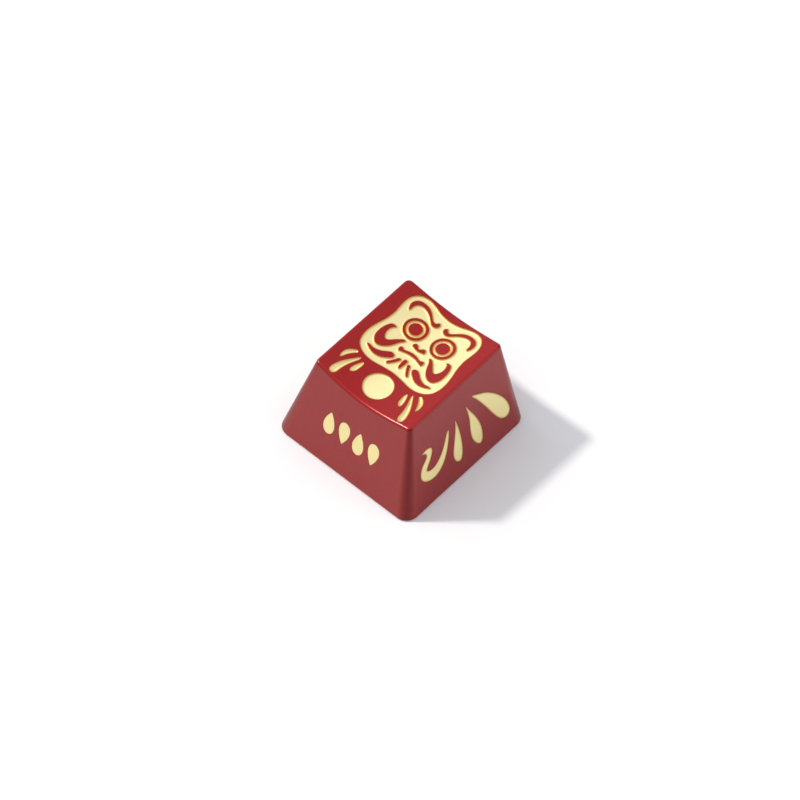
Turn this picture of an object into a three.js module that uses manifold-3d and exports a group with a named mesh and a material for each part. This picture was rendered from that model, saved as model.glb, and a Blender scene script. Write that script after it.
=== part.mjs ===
// A one-unit metal keycap for a mechanical keyboard: a red hollow cap with a dished top,
// a moulded stem insert under its roof, and gold inlays that draw a daruma doll: its face,
// belly disc and sleeve folds on the top, its robe folds on the sides, four dabs in front.
// Millimetres, +Z up, the front of the key towards -Y. The origin is the centre of the
// open rim, on the surface that the cap stands on.

import * as THREE from 'three';
import { mergeVertices } from 'three/addons/utils/BufferGeometryUtils.js';
import Module from 'manifold-3d';

const wasm = await Module();
wasm.setup();

// ---- Driving dimensions ----

// Cap, outside
const BASE_WIDTH = 18.1; // the rim is square; keys stand on a 19.05 mm pitch
const HEIGHT = 10.8; // to the two corners at the back of the top
const FRONT_DROP = 0.29; // how much lower the two front corners are
const SIDE_LEAN = 0.256; // inward run of the left and right walls per mm of height
const FRONT_LEAN = 0.3225;
const BACK_LEAN = 0.086;
const DISH_DEPTH = 0.79; // trough that runs from front to back
const DISH_FULLNESS = 1.34; // 1 is a parabola, more is fuller towards the edges
const RIM_CORNER_RADIUS = 1.5;
const TOP_FRONT_CORNER_RADIUS = 0.5;
const TOP_BACK_CORNER_RADIUS = 0.6;
const TOP_EDGE_RADIUS = 0.25;
const RIM_EDGE_RADIUS = 0.3;

// Cap, inside
const WALL = 1.3;
const ROOF = 1.7; // metal between the lowest line of the dish and the ceiling
const CAVITY_CORNER_RADIUS = 0.5;

// Stem insert
const BOSS_DIAMETER = 5.4;
const BOSS_RECESS = 1.0; // how far the boss stops short of the rim
const SOCKET_SPAN = 4.1; // cross socket for a switch stem
const SOCKET_SLOT = 1.25;
const SOCKET_DEPTH = 3.9;
const PLATE_THICKNESS = 1.2;
const PLATE_CLEARANCE = 0.15; // between the plate and the cavity walls
const GLUE_LINE = 0.05; // between the plate and the ceiling
const GUSSET_THICKNESS = 0.9;
const GUSSET_REACH = 1.9; // beyond the boss
const GUSSET_HEIGHT = 2.6;

// Inlays
const TOP_RECESS = 0.18; // floor of a top inlay below the top surface
const INLAY_THICKNESS = 0.25;
const SIDE_INLAY_THICKNESS = 0.3;
const INLAY_GAP = 0.03; // all round and under each inlay

// Eyes, on the top drawing
const EYE_OFFSET = 1.81;
const EYE_LINE = 4.2;
const EYE_RIM_RADIUS = 1.32; // outside of the red rim round each eye
const EYE_INLAY_RADIUS = 1.03;
const PUPIL_RADIUS = 0.72;

// Belly disc, on the top drawing
const BELLY_RADIUS = 1.61;
const BELLY_LINE = -3.37;

// The sheets that the artwork is drawn on; each one is fitted to its wall or to the top.
const TOP_SHEET = { width: 12.64, front: -5.66, back: 8.12 };
const WALL_SHEET = { width: 18.1, height: 10.8 };

// Front dabs, on the wall sheet
const DAB_PITCH = 1.95;
const DAB_HEIGHT = 2.6;
const DAB_WIDTH = 1.4;
const DAB_LINE = 4.95; // height of their middles
const DAB_COUNT = 4;

// Fineness
const CORNER_STEPS = 6;
const DISH_STEPS = 10;
const SPAN_STEPS = 2; // straight pieces between two points of a drawn loop
const CIRCLE_STEPS = 32;

// ---- Colours ----

const RED = new THREE.Color(0xa52127);
const GOLD = new THREE.Color(0xf3dc98);
const PALE_GOLD = new THREE.Color(0xd9cf95);
const IVORY = new THREE.Color(0xe9e4d6);

const redCoat = () => new THREE.MeshStandardMaterial({ color: RED, roughness: 0.4, metalness: 0.5 });
const goldPlate = () => new THREE.MeshStandardMaterial({ color: GOLD, roughness: 0.2, metalness: 1 });
const goldFill = () => new THREE.MeshStandardMaterial({ color: PALE_GOLD, roughness: 0.5, metalness: 1 });
const acetal = () => new THREE.MeshStandardMaterial({ color: IVORY, roughness: 0.45, metalness: 0 });

// ---- Solids ----

function toSolid(geometry) {
  const bare = geometry.clone();
  bare.deleteAttribute('normal');
  bare.deleteAttribute('uv');
  const merged = mergeVertices(bare, 1e-5);
  return new wasm.Manifold(new wasm.Mesh({
    numProp: 3,
    vertProperties: new Float32Array(merged.attributes.position.array),
    triVerts: new Uint32Array(merged.index.array),
  }));
}

function toGeometry(solid) {
  const mesh = solid.getMesh();
  const geometry = new THREE.BufferGeometry();
  geometry.setAttribute('position', new THREE.BufferAttribute(new Float32Array(mesh.vertProperties), 3));
  geometry.setIndex(new THREE.BufferAttribute(new Uint32Array(mesh.triVerts), 1));
  geometry.computeVertexNormals();
  return geometry;
}

function joined(solids) {
  return solids.reduce((sum, solid) => sum.add(solid));
}

function named(name, geometry, material) {
  const mesh = new THREE.Mesh(geometry, material);
  mesh.name = name;
  return mesh;
}

// ---- Outer form of the cap ----

const HALF_BASE = BASE_WIDTH / 2;
const FRONT_HEIGHT = HEIGHT - FRONT_DROP;
const TOP_HALF_WIDTH = HALF_BASE - SIDE_LEAN * (HEIGHT + FRONT_HEIGHT) / 2;
const TOP_FRONT = -HALF_BASE + FRONT_LEAN * FRONT_HEIGHT;
const TOP_BACK = HALF_BASE - BACK_LEAN * HEIGHT;
const TOP_MIDDLE = (TOP_FRONT + TOP_BACK) / 2;
const TOP_SLOPE = FRONT_DROP / (TOP_BACK - TOP_FRONT);
const CEILING = FRONT_HEIGHT - DISH_DEPTH - ROOF;

// How far the dish lies below the line through the two side edges, at a distance x from the middle.
function dishDrop(x) {
  const share = (x / TOP_HALF_WIDTH) ** 2;
  return DISH_DEPTH * (1 - DISH_FULLNESS * share + (DISH_FULLNESS - 1) * share ** 2);
}

function topHeight(x, y) {
  return FRONT_HEIGHT + TOP_SLOPE * (y - TOP_FRONT) - dishDrop(x);
}

// The upright section at one height: a rectangle with round corners.
function section(z, inset, leastRadius) {
  const radius = (topRadius) => Math.max(
    RIM_CORNER_RADIUS + (topRadius - RIM_CORNER_RADIUS) * z / HEIGHT - inset,
    leastRadius,
  );
  return {
    half: HALF_BASE - SIDE_LEAN * z - inset,
    front: { edge: -HALF_BASE + FRONT_LEAN * z + inset, radius: radius(TOP_FRONT_CORNER_RADIUS) },
    back: { edge: HALF_BASE - BACK_LEAN * z - inset, radius: radius(TOP_BACK_CORNER_RADIUS) },
  };
}

// Places round a section, counter-clockwise from the front left: each is a corner and an angle,
// or a share of the way along the front or back wall.
const PLACES = [];
[-1, 1, 1, -1].forEach((side, corner) => {
  const end = corner < 2 ? 'front' : 'back';
  for (let i = 0; i <= CORNER_STEPS; i += 1) {
    PLACES.push({ side, end, angle: Math.PI + (corner + i / CORNER_STEPS) * Math.PI / 2 });
  }
  if (corner % 2 === 0) {
    for (let i = 1; i < DISH_STEPS; i += 1) PLACES.push({ side, end, along: i / DISH_STEPS });
  }
});

function placePoint(place, form) {
  const { half } = form;
  const { edge, radius } = form[place.end];
  const inward = place.end === 'front' ? 1 : -1;
  const reach = half - radius;
  if (place.along !== undefined) return [place.side * reach * (1 - 2 * place.along), edge];
  const x = place.side * reach + radius * Math.cos(place.angle);
  return [x, edge + inward * radius + radius * Math.sin(place.angle)];
}

function levelRing(z, inset, leastRadius = 0) {
  const form = section(z, inset, leastRadius);
  return PLACES.map((place) => [...placePoint(place, form), z]);
}

// A ring that keeps a set depth below the dished top, where the wall is met at that depth.
function edgeRing(depth, inset) {
  return PLACES.map((place) => {
    let z = HEIGHT;
    let point = [0, 0];
    for (let pass = 0; pass < 6; pass += 1) {
      point = placePoint(place, section(z, inset, 0.05));
      z = topHeight(...point) - depth;
    }
    return [...point, z];
  });
}

function shrunkRing(ring, share) {
  return ring.map(([x, y]) => {
    const inner = [x * share, TOP_MIDDLE + (y - TOP_MIDDLE) * share];
    return [...inner, topHeight(...inner)];
  });
}

// A closed skin over rings that are stacked from the bottom up, with a point at both ends.
function stacked(rings, bottomPoint, topPoint) {
  const count = rings[0].length;
  const vertices = [bottomPoint, ...rings.flat(), topPoint];
  const last = vertices.length - 1;
  const faces = [];
  for (let i = 0; i < count; i += 1) {
    const next = (i + 1) % count;
    faces.push(0, 1 + next, 1 + i);
    for (let level = 0; level + 1 < rings.length; level += 1) {
      const low = 1 + level * count;
      const high = low + count;
      faces.push(low + i, low + next, high + next, low + i, high + next, high + i);
    }
    const top = 1 + (rings.length - 1) * count;
    faces.push(top + i, top + next, last);
  }
  const geometry = new THREE.BufferGeometry();
  geometry.setAttribute('position', new THREE.BufferAttribute(new Float32Array(vertices.flat()), 3));
  geometry.setIndex(faces);
  return toSolid(geometry);
}

// Depth and inset of a quarter-round edge, from the wall to the face that it runs into.
function quarterRound(radius, steps) {
  return Array.from({ length: steps + 1 }, (_, i) => {
    const angle = (i / steps) * Math.PI / 2;
    return { depth: radius * (1 - Math.sin(angle)), inset: radius * (1 - Math.cos(angle)) };
  });
}

function outerSolid() {
  const rim = quarterRound(RIM_EDGE_RADIUS, 3).reverse();
  const edge = quarterRound(TOP_EDGE_RADIUS, 3);
  const edgeRings = edge.map(({ depth, inset }) => edgeRing(depth, inset));
  const topRing = edgeRings[edgeRings.length - 1];
  return stacked(
    [
      ...rim.map(({ depth, inset }) => levelRing(depth, inset)),
      levelRing(HEIGHT * 0.45, 0),
      ...edgeRings,
      ...[0.85, 0.55, 0.25].map((share) => shrunkRing(topRing, share)),
    ],
    [0, 0, 0],
    [0, TOP_MIDDLE, topHeight(0, TOP_MIDDLE)],
  );
}

function cavitySolid() {
  const mouth = -1;
  return stacked(
    [levelRing(mouth, WALL, CAVITY_CORNER_RADIUS), levelRing(CEILING, WALL, CAVITY_CORNER_RADIUS)],
    [0, 0, mouth],
    [0, 0, CEILING],
  );
}

// ---- Drawn loops ----

const mirrored = (points) => points.map(([x, y]) => [-x, y]).reverse();

// A symmetric loop from its right half, which runs from the middle line back to it.
const bothHalves = (half) => [...half, ...mirrored(half.slice(1, -1))];

function smooth(points) {
  const curve = new THREE.CatmullRomCurve3(
    points.map(([x, y]) => new THREE.Vector3(x, y, 0)),
    true,
    'centripetal',
  );
  return curve.getPoints(points.length * SPAN_STEPS).slice(0, -1).map((p) => [p.x, p.y]);
}

function circle(x, y, radius) {
  return Array.from({ length: CIRCLE_STEPS }, (_, i) => {
    const angle = (i / CIRCLE_STEPS) * 2 * Math.PI;
    return [x + radius * Math.cos(angle), y + radius * Math.sin(angle)];
  });
}

function counterClockwise(points) {
  const flat = points.map(([x, y]) => new THREE.Vector2(x, y));
  return THREE.ShapeUtils.isClockWise(flat) ? [...points].reverse() : points;
}

// The loop moved outwards by a distance, or inwards if it is negative.
function offset(points, distance) {
  const loop = counterClockwise(points);
  return loop.map(([x, y], i) => {
    const before = loop[(i + loop.length - 1) % loop.length];
    const after = loop[(i + 1) % loop.length];
    const along = new THREE.Vector2(after[0] - before[0], after[1] - before[1]).normalize();
    return [x + along.y * distance, y - along.x * distance];
  });
}

function prism(outline, holes, bottom, top) {
  const shape = new THREE.Shape(counterClockwise(outline).map(([x, y]) => new THREE.Vector2(x, y)));
  holes.forEach((hole) => {
    const path = counterClockwise(hole).reverse();
    shape.holes.push(new THREE.Path(path.map(([x, y]) => new THREE.Vector2(x, y))));
  });
  const geometry = new THREE.ExtrudeGeometry(shape, { depth: top - bottom, bevelEnabled: false });
  geometry.translate(0, 0, bottom);
  return toSolid(geometry);
}

// ---- Artwork on the top ----

const FACE_OUTLINE = bothHalves([
  [0, 7.21], [1.2, 7.35], [2.2, 7.63], [3.1, 7.76], [4.0, 7.5], [4.58, 6.83], [4.77, 5.95],
  [4.71, 5.05], [4.63, 4.2], [4.75, 3.0], [5.0, 2.0], [5.17, 0.8], [5.1, -0.1], [4.8, -0.83],
  [4.2, -1.3], [3.4, -1.54], [2.4, -1.54], [1.2, -1.32], [0, -1.2],
]);

const RIGHT_BROW = [
  [0.3, 6.12], [0.52, 6.36], [0.7, 6.2], [0.85, 6.06], [1.15, 6.1], [1.5, 6.36], [1.95, 6.74],
  [2.5, 7.02], [3.1, 7.09], [3.65, 6.97], [4.02, 6.63], [4.15, 6.15], [4.07, 5.8], [3.86, 5.47],
  [3.76, 5.62], [3.74, 6.05], [3.5, 6.5], [3.0, 6.69], [2.45, 6.6], [1.9, 6.34], [1.4, 5.94],
  [1.0, 5.67], [0.6, 5.68], [0.37, 5.87],
];

const RIGHT_CHEEK = [
  [3.38, 3.03], [3.6, 3.11], [3.93, 3.0], [4.18, 2.6], [4.33, 2.05], [4.37, 1.5], [4.31, 0.95],
  [4.08, 0.5], [3.72, 0.25], [3.35, 0.26], [2.9, 0.5], [2.5, 0.9], [2.2, 1.4], [1.95, 1.95],
  [1.63, 2.45], [1.82, 2.5], [2.15, 2.25], [2.5, 1.9], [2.85, 1.5], [3.1, 1.3], [3.35, 1.3],
  [3.6, 1.6], [3.74, 2.1], [3.68, 2.6], [3.5, 2.93],
];

const RIGHT_BEARD = [
  [1.26, 0.33], [1.45, 0.53], [1.75, 0.56], [2.1, 0.34], [2.55, 0.0], [3.0, -0.23], [3.45, -0.34],
  [3.95, -0.3], [4.19, -0.38], [3.95, -0.53], [3.45, -0.72], [2.9, -0.77], [2.3, -0.62],
  [1.8, -0.3], [1.4, 0.05],
];

const RIGHT_WHISKER = [
  [0.48, 0.48], [0.6, 0.57], [0.77, 0.5], [0.95, 0.15], [1.17, -0.22], [1.4, -0.58],
  [1.33, -0.71], [1.17, -0.62], [0.9, -0.3], [0.65, 0.08],
];

const CHIN_STROKE = bothHalves([
  [0, 0.84], [0.17, 0.78], [0.22, 0.5], [0.18, 0.1], [0.12, -0.28], [0, -0.39],
]);

const NOSE = bothHalves([
  [0, 2.63], [0.17, 2.7], [0.35, 2.9], [0.56, 2.96], [0.76, 2.8], [0.76, 2.57], [0.45, 2.46],
  [0, 2.38],
]);

const MOUTH = bothHalves([
  [0, 1.85], [0.45, 1.8], [0.85, 1.67], [1.12, 1.62], [1.35, 1.75], [1.53, 1.68], [1.58, 1.45],
  [1.48, 1.23], [1.25, 1.28], [0.85, 1.41], [0.4, 1.51], [0, 1.52],
]);

// Sleeve folds beside the belly, named from the middle outwards.
const RIGHT_SLEEVE = {
  inner: [
    [2.9, -2.3], [2.77, -2.55], [2.78, -3.1], [2.87, -3.6], [3.08, -3.86], [3.3, -3.94],
    [3.43, -3.7], [3.38, -3.2], [3.2, -2.7], [3.03, -2.37],
  ],
  long: [
    [3.45, -2.08], [3.62, -2.18], [3.92, -2.6], [4.25, -3.1], [4.58, -3.7], [4.82, -4.35],
    [4.92, -4.9], [4.84, -5.27], [4.6, -5.41], [4.35, -5.37], [4.15, -5.08], [4.06, -4.4],
    [3.92, -3.7], [3.68, -3.0], [3.45, -2.4],
  ],
  outer: [
    [4.2, -1.72], [4.08, -1.88], [4.3, -2.17], [4.57, -2.57], [4.78, -3.0], [4.92, -3.35],
    [5.04, -3.5], [5.15, -3.3], [5.2, -2.95], [5.13, -2.5], [4.9, -2.13], [4.6, -1.87],
    [4.37, -1.73],
  ],
};

// From the top sheet to the cap's own x and y.
function onTop([x, y]) {
  const depth = (TOP_BACK - TOP_FRONT) / (TOP_SHEET.back - TOP_SHEET.front);
  return [x * 2 * TOP_HALF_WIDTH / TOP_SHEET.width, TOP_FRONT + (y - TOP_SHEET.front) * depth];
}

// The layer between two depths below the dished top, wider than the cap.
function dishLayer(shallow, deep) {
  const reach = TOP_HALF_WIDTH * 1.1;
  const steps = DISH_STEPS + 2;
  const xs = Array.from({ length: steps + 1 }, (_, i) => reach * (2 * i / steps - 1));
  const profile = [
    ...xs.map((x) => new THREE.Vector2(x, -dishDrop(x) - deep)),
    ...xs.map((x) => new THREE.Vector2(x, -dishDrop(x) - shallow)).reverse(),
  ];
  const length = BASE_WIDTH;
  const geometry = new THREE.ExtrudeGeometry(new THREE.Shape(profile), { depth: length, bevelEnabled: false });
  geometry.rotateX(Math.PI / 2);
  geometry.translate(0, HALF_BASE, FRONT_HEIGHT);
  const place = geometry.attributes.position;
  for (let i = 0; i < place.count; i += 1) {
    place.setZ(i, place.getZ(i) + TOP_SLOPE * (place.getY(i) - TOP_FRONT));
  }
  return toSolid(geometry);
}

const POCKET_DEPTH = TOP_RECESS + INLAY_THICKNESS + INLAY_GAP;
const OVER_TOP = 1; // how far a cutter stands out of the surface that it enters

const inlayLayer = dishLayer(TOP_RECESS, TOP_RECESS + INLAY_THICKNESS);
const pocketLayer = dishLayer(-OVER_TOP, POCKET_DEPTH);

function topPiece(name, outline, holes = []) {
  const rim = outline.map(onTop);
  const islands = holes.map((hole) => hole.map(onTop));
  const floor = CEILING + ROOF / 4;
  const roof = HEIGHT + OVER_TOP;
  const cutter = prism(
    offset(rim, INLAY_GAP),
    islands.map((island) => offset(island, -INLAY_GAP)),
    floor,
    roof,
  );
  return {
    mesh: named(name, toGeometry(prism(rim, islands, floor, roof).intersect(inlayLayer)), goldPlate()),
    pocket: cutter.intersect(pocketLayer),
  };
}

const SIDES = { right: (points) => points, left: mirrored };

const faceDetails = [
  ...Object.values(SIDES).flatMap((turn) => [
    smooth(turn(RIGHT_BROW)),
    smooth(turn(RIGHT_CHEEK)),
    smooth(turn(RIGHT_BEARD)),
    smooth(turn(RIGHT_WHISKER)),
    turn(circle(EYE_OFFSET, EYE_LINE, EYE_RIM_RADIUS)),
  ]),
  smooth(CHIN_STROKE),
  smooth(NOSE),
  smooth(MOUTH),
];

const topPieces = [
  topPiece('face_inlay', smooth(FACE_OUTLINE), faceDetails),
  topPiece('belly_inlay', circle(0, BELLY_LINE, BELLY_RADIUS)),
  ...Object.entries(SIDES).flatMap(([side, turn]) => [
    topPiece(
      `${side}_eye_inlay`,
      turn(circle(EYE_OFFSET, EYE_LINE, EYE_INLAY_RADIUS)),
      [turn(circle(EYE_OFFSET, EYE_LINE, PUPIL_RADIUS))],
    ),
    ...Object.entries(RIGHT_SLEEVE).map(([fold, points]) => (
      topPiece(`${side}_sleeve_${fold}`, smooth(turn(points)))
    )),
  ]),
];

// ---- Artwork on the walls ----

// Robe folds on the right wall, from the front of the cap to its back: along the wall, then up.
const ROBE_FOLDS = {
  hook: [
    [-5.05, 6.6], [-4.6, 6.72], [-4.1, 6.72], [-3.72, 6.53], [-3.6, 6.2], [-3.78, 5.72],
    [-4.2, 5.15], [-4.65, 4.68], [-4.86, 4.32], [-4.65, 4.1], [-4.2, 4.0], [-3.6, 4.12],
    [-2.95, 4.5], [-2.35, 5.08], [-1.8, 5.85], [-1.25, 6.62], [-1.02, 6.72], [-1.08, 6.3],
    [-1.5, 5.2], [-2.05, 4.2], [-2.75, 3.4], [-3.5, 2.95], [-4.25, 2.8], [-5.0, 2.98],
    [-5.6, 3.42], [-5.83, 3.98], [-5.72, 4.6], [-5.35, 5.15], [-4.8, 5.6], [-4.48, 5.95],
    [-4.5, 6.25], [-4.72, 6.45],
  ],
  small_drop: [
    [0.06, 7.1], [0.2, 6.3], [0.28, 5.3], [0.26, 4.4], [0.15, 3.4], [-0.08, 2.55], [-0.38, 2.08],
    [-0.75, 2.1], [-1.1, 2.48], [-1.22, 3.05], [-1.1, 3.75], [-0.7, 4.75], [-0.3, 5.75],
    [-0.05, 6.6],
  ],
  drop: [
    [1.8, 7.5], [2.15, 6.7], [2.6, 5.7], [2.92, 4.7], [3.08, 3.7], [3.02, 2.8], [2.78, 2.12],
    [2.48, 1.94], [2.1, 2.22], [1.72, 2.9], [1.58, 3.7], [1.64, 4.6], [1.8, 5.6], [1.84, 6.6],
  ],
  wide_drop: [
    [2.85, 8.1], [3.7, 7.68], [4.6, 7.15], [5.45, 6.4], [6.2, 5.5], [6.8, 4.5], [7.13, 3.5],
    [7.12, 2.75], [6.85, 2.38], [6.4, 2.28], [5.9, 2.5], [5.4, 3.1], [4.95, 3.95], [4.45, 5.05],
    [3.95, 6.1], [3.4, 7.15],
  ],
};

// An upright drop round the middle of its own box, with its point up.
function dab(x, y, turn) {
  const half = Array.from({ length: 6 }, (_, i) => {
    const angle = (i / 5) * Math.PI;
    const width = DAB_WIDTH / 2 * Math.sin(angle) * Math.sin(angle / 2) ** 0.8 * 1.25;
    return [width, DAB_HEIGHT / 2 * Math.cos(angle)];
  });
  return smooth(bothHalves(half)).map(([u, v]) => [x + u * turn, y + v * turn]);
}

// Frames of the walls: the sheet's across and up directions lie in the wall, and out is its normal.
function wallFrame(across, lean) {
  const out = new THREE.Vector3(across.y, -across.x, 0);
  const foot = out.clone().multiplyScalar(HALF_BASE);
  const up = out.clone().multiplyScalar(-lean).add(new THREE.Vector3(0, 0, 1)).normalize();
  const normal = new THREE.Vector3().crossVectors(across, up);
  return new THREE.Matrix4().makeBasis(across, up, normal).setPosition(foot);
}

function onWall(lean) {
  const climb = Math.hypot(1, lean) * HEIGHT / WALL_SHEET.height;
  return ([x, y]) => [x * BASE_WIDTH / WALL_SHEET.width, y * climb];
}

function wallGroup(frame, lean, loops) {
  const group = new THREE.Group();
  frame.decompose(group.position, group.quaternion, group.scale);
  const pockets = Object.entries(loops).map(([name, points]) => {
    const rim = points.map(onWall(lean));
    const inlay = prism(rim, [], -SIDE_INLAY_THICKNESS, 0);
    group.add(named(name, toGeometry(inlay), goldFill()));
    const pocket = prism(offset(rim, INLAY_GAP), [], -SIDE_INLAY_THICKNESS - INLAY_GAP, OVER_TOP);
    return toSolid(toGeometry(pocket).applyMatrix4(frame));
  });
  return { group, pockets };
}

const robeLoops = (side, turn) => Object.fromEntries(
  Object.entries(ROBE_FOLDS).map(([fold, points]) => [`${side}_robe_${fold}`, smooth(turn(points))]),
);

const dabLoops = Object.fromEntries(Array.from({ length: DAB_COUNT }, (_, i) => {
  const x = (i - (DAB_COUNT - 1) / 2) * DAB_PITCH;
  return [`front_dab_${i + 1}`, dab(x, DAB_LINE, i % 2 === 0 ? 1 : -1)];
}));

const walls = [
  wallGroup(wallFrame(new THREE.Vector3(0, 1, 0), SIDE_LEAN), SIDE_LEAN, robeLoops('right', SIDES.right)),
  wallGroup(wallFrame(new THREE.Vector3(0, -1, 0), SIDE_LEAN), SIDE_LEAN, robeLoops('left', SIDES.left)),
  wallGroup(wallFrame(new THREE.Vector3(1, 0, 0), FRONT_LEAN), FRONT_LEAN, dabLoops),
];

// ---- Cap ----

function capShell() {
  const cutters = [
    cavitySolid(),
    ...topPieces.map(({ pocket }) => pocket),
    ...walls.flatMap(({ pockets }) => pockets),
  ];
  return toGeometry(outerSolid().subtract(joined(cutters)));
}

// ---- Stem insert ----

function box(width, depth, bottom, top) {
  const geometry = new THREE.BoxGeometry(width, depth, top - bottom);
  geometry.translate(0, 0, (top + bottom) / 2);
  return toSolid(geometry);
}

function stemInsert() {
  const plateTop = CEILING - GLUE_LINE;
  const plateBottom = plateTop - PLATE_THICKNESS;
  const reach = WALL + PLATE_CLEARANCE;
  const plate = stacked(
    [
      levelRing(plateBottom, reach, CAVITY_CORNER_RADIUS),
      levelRing(plateTop, reach, CAVITY_CORNER_RADIUS),
    ],
    [0, 0, plateBottom],
    [0, 0, plateTop],
  );
  const bossLength = plateBottom - BOSS_RECESS;
  const bossRadius = BOSS_DIAMETER / 2;
  const bossForm = new THREE.CylinderGeometry(bossRadius, bossRadius, bossLength + PLATE_THICKNESS / 2, 40);
  bossForm.rotateX(Math.PI / 2);
  bossForm.translate(0, 0, BOSS_RECESS + (bossLength + PLATE_THICKNESS / 2) / 2);
  const gussetSpan = BOSS_DIAMETER + 2 * GUSSET_REACH;
  const gussetFoot = plateBottom - GUSSET_HEIGHT;
  const gussetTop = plateBottom + PLATE_THICKNESS / 2;
  const socketTop = BOSS_RECESS + SOCKET_DEPTH;
  return toGeometry(
    joined([
      plate,
      toSolid(bossForm),
      box(gussetSpan, GUSSET_THICKNESS, gussetFoot, gussetTop),
      box(GUSSET_THICKNESS, gussetSpan, gussetFoot, gussetTop),
    ]).subtract(joined([
      box(SOCKET_SPAN, SOCKET_SLOT, 0, socketTop),
      box(SOCKET_SLOT, SOCKET_SPAN, 0, socketTop),
    ])),
  );
}

// ---- The whole key ----

const keycap = new THREE.Group();
keycap.add(named('keycap_shell', capShell(), redCoat()));
keycap.add(named('stem_insert', stemInsert(), acetal()));
topPieces.forEach(({ mesh }) => keycap.add(mesh));
walls.forEach(({ group }) => keycap.add(group));

export default keycap;
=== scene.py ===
"""The looks of a metal keycap: a satin red cap with a daruma's face, belly and robe inlaid in gold.

Lengths are in millimetres up to the last step of each mesh, which turns them to metres.
The front of the key is towards -Y, and the cap stands on its open rim at z = 0.
"""

import math

import bmesh
import bpy
import numpy as np
from mathutils import Matrix, Vector
from mathutils.geometry import delaunay_2d_cdt
from mathutils.kdtree import KDTree


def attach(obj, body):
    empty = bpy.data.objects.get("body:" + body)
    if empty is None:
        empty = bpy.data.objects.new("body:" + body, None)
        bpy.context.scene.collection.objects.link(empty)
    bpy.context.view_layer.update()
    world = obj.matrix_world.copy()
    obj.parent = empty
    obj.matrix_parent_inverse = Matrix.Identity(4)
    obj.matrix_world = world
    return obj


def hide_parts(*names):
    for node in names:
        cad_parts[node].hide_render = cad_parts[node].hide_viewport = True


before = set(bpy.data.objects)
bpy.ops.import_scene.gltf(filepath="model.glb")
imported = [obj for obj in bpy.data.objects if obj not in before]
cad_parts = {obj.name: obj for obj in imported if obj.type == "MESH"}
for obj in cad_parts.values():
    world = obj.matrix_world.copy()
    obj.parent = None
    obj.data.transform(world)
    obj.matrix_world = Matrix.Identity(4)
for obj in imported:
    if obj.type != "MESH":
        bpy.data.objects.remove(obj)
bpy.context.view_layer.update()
MM = 0.001

# ---------------------------------------------------------------- sizes, as the CAD model has them

# Cap, outside
BASE_WIDTH = 18.1
HEIGHT = 10.8
FRONT_DROP = 0.29
SIDE_LEAN = 0.256
FRONT_LEAN = 0.3225
BACK_LEAN = 0.086
DISH_DEPTH = 0.79
DISH_FULLNESS = 1.34
RIM_CORNER_RADIUS = 1.5
TOP_FRONT_CORNER_RADIUS = 0.5
TOP_BACK_CORNER_RADIUS = 0.6
TOP_EDGE_RADIUS = 0.25
RIM_EDGE_RADIUS = 0.3

# Cap, inside
WALL = 1.3
ROOF = 1.7
CAVITY_CORNER_RADIUS = 0.5
MOUTH_CHAMFER = 0.15

# Stem insert
BOSS_DIAMETER = 5.4
BOSS_RECESS = 1.0
SOCKET_SPAN = 4.1
SOCKET_SLOT = 1.25
SOCKET_DEPTH = 3.9
PLATE_THICKNESS = 1.2
PLATE_CLEARANCE = 0.15
GLUE_LINE = 0.05
GUSSET_COUNT = 4
GUSSET_THICKNESS = 0.9
GUSSET_REACH = 1.9
GUSSET_HEIGHT = 2.6

# Inlays
TOP_RECESS = 0.18
INLAY_THICKNESS = 0.25
SIDE_INLAY_THICKNESS = 0.3

# Worked out from those
HALF_BASE = BASE_WIDTH / 2
FRONT_HEIGHT = HEIGHT - FRONT_DROP
TOP_HALF_WIDTH = HALF_BASE - SIDE_LEAN * (HEIGHT + FRONT_HEIGHT) / 2
TOP_FRONT = -HALF_BASE + FRONT_LEAN * FRONT_HEIGHT
TOP_BACK = HALF_BASE - BACK_LEAN * HEIGHT
TOP_SLOPE = FRONT_DROP / (TOP_BACK - TOP_FRONT)
CEILING = FRONT_HEIGHT - DISH_DEPTH - ROOF

# Eyes and belly disc, on the top drawing
EYE_OFFSET = 1.81
EYE_LINE = 4.2
EYE_RIM_RADIUS = 1.32
EYE_INLAY_RADIUS = 1.03
PUPIL_RADIUS = 0.72
BELLY_RADIUS = 1.61
BELLY_LINE = -3.37

# The sheets that the artwork is drawn on, which are stretched to the cap's own sizes
TOP_SHEET = {"width": 12.64, "front": -5.66, "back": 8.12}
WALL_SHEET = {"width": 18.1, "height": 10.8}

# Front dabs, on the wall sheet
DAB_PITCH = 1.95
DAB_HEIGHT = 2.6
DAB_WIDTH = 1.4
DAB_LINE = 4.95
DAB_COUNT = 4

# ---------------------------------------------------------------- sizes of the finer detail

# Gold and coat
LIP = 0.04  # the coat rounds over this far where it meets the gold
# Painted reflection of the red coat and painted shade: the gold's colour is deepened over this far
# from its edge
PAINTED_RIM_WIDTH = 0.16  # the gold is deeper in colour over this far from its edge
COVE = 0.16  # width of the hollow slope round a recessed floor
EYE_COVE = 0.155
EYE_DEPTH = 0.21
SLEEVE_COVE = 0.36
SLEEVE_DEPTH = 0.3
DAB_FULLNESS = 1.25  # makes up for the width that the taper takes off the drop
DAB_TAPER = 0.8

# Painted shade on the upright corners, drawn as a darker and less glossy coat: how fast it
# thins out round the corner, and the shares of the corner's radius at which it starts and is full
CORNER_SHADE_FALL = 1.5
CORNER_SHADE_START = 0.7
CORNER_SHADE_FULL = 0.9

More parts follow.
